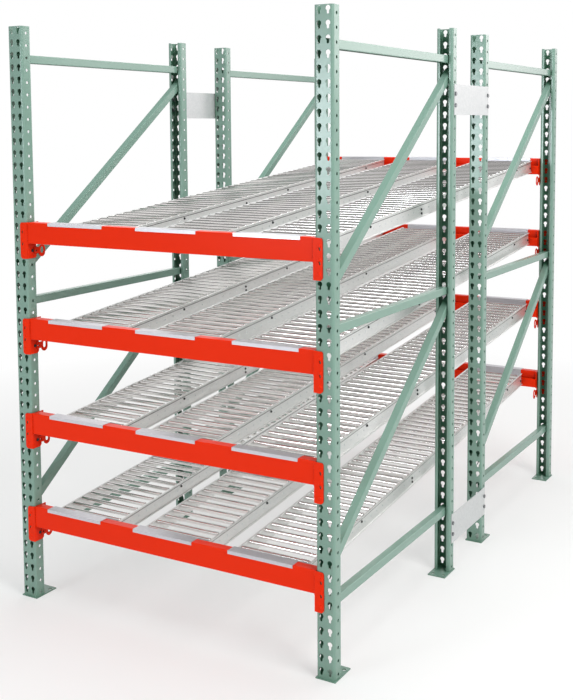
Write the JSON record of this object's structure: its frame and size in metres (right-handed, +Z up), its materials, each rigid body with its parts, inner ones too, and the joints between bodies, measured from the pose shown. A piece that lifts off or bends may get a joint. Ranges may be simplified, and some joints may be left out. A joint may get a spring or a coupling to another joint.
{
  "type": "carton flow rack with roller tracks",
  "caption": "Free-standing gravity flow rack: punched steel uprights with bracing and step beams carry sloping levels of twin-rail roller tracks.",
  "frame": {"origin": "floor level, in the middle of the rack's footprint", "axes": "+X across the rack to the right seen from the discharge side, +Y from the discharge side to the loading side, +Z up"},
  "size_m": [1.54, 2.7048, 2.4384],
  "materials": {
    "upright_green": "satin powder coat",
    "brace_green": "satin powder coat",
    "beam_orange": "semi-gloss powder coat",
    "galvanised": "bright galvanised sheet",
    "rail_zinc": "galvanised, dull",
    "roller_zinc": "bright zinc plate",
    "zinc": "zinc plate"
  },
  "bodies": {
    "rack": {"front_left_post": "upright_green", "front_right_post": "upright_green", "mid_left_post_1": "upright_green", "mid_right_post_1": "upright_green", "mid_left_post_2": "upright_green", "mid_right_post_2": "upright_green", "rear_left_post": "upright_green", "rear_right_post": "upright_green", "left_front_bracing": "brace_green", "right_front_bracing": "brace_green", "left_rear_bracing": "brace_green", "right_rear_bracing": "brace_green", "foot_plates": "upright_green", "row_spacers": "galvanised", "spacer_bolts": "zinc", "beam_connectors": "beam_orange", "beam_locks": "beam_orange", "front_beam_1": "beam_orange", "front_beam_2": "beam_orange", "front_beam_3": "beam_orange", "front_beam_4": "beam_orange", "rear_beam_1": "beam_orange", "rear_beam_2": "beam_orange", "rear_beam_3": "beam_orange", "rear_beam_4": "beam_orange", "track_rails_1": "rail_zinc", "track_rails_2": "rail_zinc", "track_rails_3": "rail_zinc", "track_rails_4": "rail_zinc", "fixed_rollers_1": "roller_zinc", "fixed_rollers_2": "roller_zinc", "fixed_rollers_3": "roller_zinc", "fixed_rollers_4": "roller_zinc", "track_ties": "rail_zinc", "front_hangers": "galvanised", "rear_hangers": "galvanised"},
    "roller_1": {"live_roller_1": "roller_zinc"},
    "roller_2": {"live_roller_2": "roller_zinc"},
    "roller_3": {"live_roller_3": "roller_zinc"},
    "roller_4": {"live_roller_4": "roller_zinc"},
    "roller_5": {"live_roller_5": "roller_zinc"},
    "roller_6": {"live_roller_6": "roller_zinc"},
    "roller_7": {"live_roller_7": "roller_zinc"},
    "roller_8": {"live_roller_8": "roller_zinc"},
    "roller_9": {"live_roller_9": "roller_zinc"},
    "roller_10": {"live_roller_10": "roller_zinc"},
    "roller_11": {"live_roller_11": "roller_zinc"},
    "roller_12": {"live_roller_12": "roller_zinc"},
    "roller_13": {"live_roller_13": "roller_zinc"},
    "roller_14": {"live_roller_14": "roller_zinc"},
    "roller_15": {"live_roller_15": "roller_zinc"},
    "roller_16": {"live_roller_16": "roller_zinc"},
    "roller_17": {"live_roller_17": "roller_zinc"},
    "roller_18": {"live_roller_18": "roller_zinc"},
    "roller_19": {"live_roller_19": "roller_zinc"},
    "roller_20": {"live_roller_20": "roller_zinc"},
    "roller_21": {"live_roller_21": "roller_zinc"},
    "roller_22": {"live_roller_22": "roller_zinc"}
  },
  "joints": [
    {"name": "roller_1_spin", "type": "hinge", "parent": "rack", "child": "roller_1", "pos_m": [-0.011, -1.2275, 0.37552], "axis": [1, 0, 0], "continuous": true},
    {"name": "roller_2_spin", "type": "hinge", "parent": "rack", "child": "roller_2", "pos_m": [-0.011, -1.17051, 0.38043], "axis": [1, 0, 0], "continuous": true},
    {"name": "roller_3_spin", "type": "hinge", "parent": "rack", "child": "roller_3", "pos_m": [-0.011, -1.11352, 0.38533], "axis": [1, 0, 0], "continuous": true},
    {"name": "roller_4_spin", "type": "hinge", "parent": "rack", "child": "roller_4", "pos_m": [-0.011, -1.05653, 0.39024], "axis": [1, 0, 0], "continuous": true},
    {"name": "roller_5_spin", "type": "hinge", "parent": "rack", "child": "roller_5", "pos_m": [-0.011, -0.99954, 0.39514], "axis": [1, 0, 0], "continuous": true},
    {"name": "roller_6_spin", "type": "hinge", "parent": "rack", "child": "roller_6", "pos_m": [-0.011, -0.94255, 0.40005], "axis": [1, 0, 0], "continuous": true},
    {"name": "roller_7_spin", "type": "hinge", "parent": "rack", "child": "roller_7", "pos_m": [-0.011, -0.88556, 0.40495], "axis": [1, 0, 0], "continuous": true},
    {"name": "roller_8_spin", "type": "hinge", "parent": "rack", "child": "roller_8", "pos_m": [-0.011, -0.82857, 0.40986], "axis": [1, 0, 0], "continuous": true},
    {"name": "roller_9_spin", "type": "hinge", "parent": "rack", "child": "roller_9", "pos_m": [-0.011, -0.77158, 0.41476], "axis": [1, 0, 0], "continuous": true},
    {"name": "roller_10_spin", "type": "hinge", "parent": "rack", "child": "roller_10", "pos_m": [-0.011, -0.71459, 0.41967], "axis": [1, 0, 0], "continuous": true},
    {"name": "roller_11_spin", "type": "hinge", "parent": "rack", "child": "roller_11", "pos_m": [-0.011, -0.6576, 0.42457], "axis": [1, 0, 0], "continuous": true},
    {"name": "roller_12_spin", "type": "hinge", "parent": "rack", "child": "roller_12", "pos_m": [-0.011, -0.60061, 0.42948], "axis": [1, 0, 0], "continuous": true},
    {"name": "roller_13_spin", "type": "hinge", "parent": "rack", "child": "roller_13", "pos_m": [-0.011, -0.54362, 0.43439], "axis": [1, 0, 0], "continuous": true},
    {"name": "roller_14_spin", "type": "hinge", "parent": "rack", "child": "roller_14", "pos_m": [-0.011, -0.48663, 0.43929], "axis": [1, 0, 0], "continuous": true},
    {"name": "roller_15_spin", "type": "hinge", "parent": "rack", "child": "roller_15", "pos_m": [-0.011, -0.42964, 0.4442], "axis": [1, 0, 0], "continuous": true},
    {"name": "roller_16_spin", "type": "hinge", "parent": "rack", "child": "roller_16", "pos_m": [-0.011, -0.37266, 0.4491], "axis": [1, 0, 0], "continuous": true},
    {"name": "roller_17_spin", "type": "hinge", "parent": "rack", "child": "roller_17", "pos_m": [-0.011, -0.31567, 0.45401], "axis": [1, 0, 0], "continuous": true},
    {"name": "roller_18_spin", "type": "hinge", "parent": "rack", "child": "roller_18", "pos_m": [-0.011, -0.25868, 0.45891], "axis": [1, 0, 0], "continuous": true},
    {"name": "roller_19_spin", "type": "hinge", "parent": "rack", "child": "roller_19", "pos_m": [-0.011, -0.20169, 0.46382], "axis": [1, 0, 0], "continuous": true},
    {"name": "roller_20_spin", "type": "hinge", "parent": "rack", "child": "roller_20", "pos_m": [-0.011, -0.1447, 0.46872], "axis": [1, 0, 0], "continuous": true},
    {"name": "roller_21_spin", "type": "hinge", "parent": "rack", "child": "roller_21", "pos_m": [-0.011, -0.08771, 0.47363], "axis": [1, 0, 0], "continuous": true},
    {"name": "roller_22_spin", "type": "hinge", "parent": "rack", "child": "roller_22", "pos_m": [-0.011, -0.03072, 0.47853], "axis": [1, 0, 0], "continuous": true}
  ]
}
